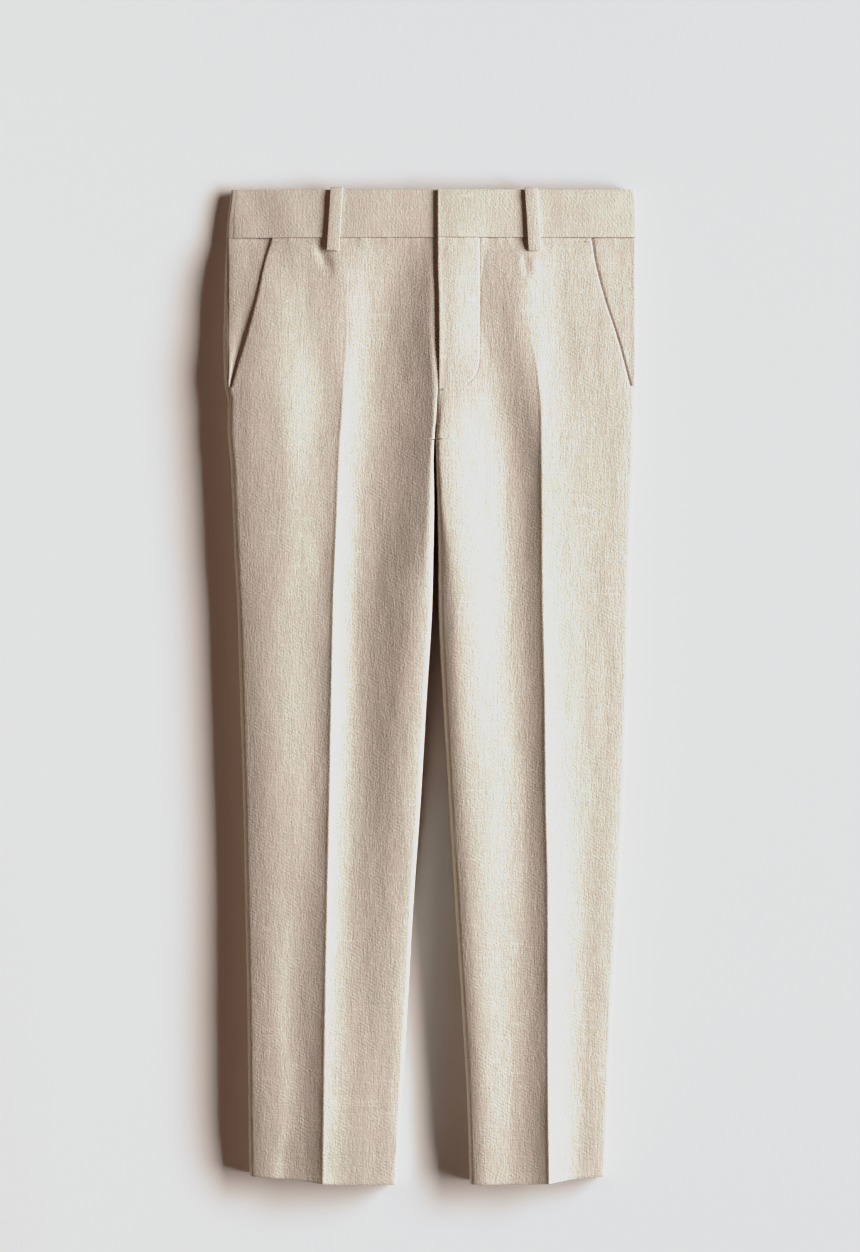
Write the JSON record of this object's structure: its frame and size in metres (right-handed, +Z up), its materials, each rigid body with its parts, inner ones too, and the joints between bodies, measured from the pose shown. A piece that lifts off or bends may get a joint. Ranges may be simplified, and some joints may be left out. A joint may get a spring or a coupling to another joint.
{
  "type": "suit trousers",
  "caption": "Child's suit trousers laid flat, front up, with belt loops, a closed fly, slanted front pockets, pressed creases and plain hems.",
  "frame": {"origin": "middle of the bounding box, at the surface that the trousers lie on", "axes": "+Z up from the surface, out of the fronts; +Y along the legs towards the waistband; +X towards the wearer's left side"},
  "size_m": [0.2898, 0.6964, 0.023],
  "materials": {
    "panel_twill": "matt linen-look twill in beige, with slubs",
    "facing_twill": "the same twill, seen in the pocket openings and behind the fly",
    "waistband_twill": "the same twill, doubled and interlined, with a plain diagonal weave"
  },
  "bodies": {
    "root": {"front_right": "panel_twill", "front_left": "panel_twill", "back_right": "panel_twill", "back_left": "panel_twill", "pocket_facing_right": "facing_twill", "pocket_facing_left": "facing_twill", "fly_facing": "facing_twill", "waistband_right": "waistband_twill", "waistband_left": "waistband_twill", "belt_loop_front_right": "waistband_twill", "belt_loop_front_left": "waistband_twill", "belt_loop_back_centre": "waistband_twill", "belt_loop_back_right": "waistband_twill", "belt_loop_back_left": "waistband_twill"}
  },
  "joints": []
}
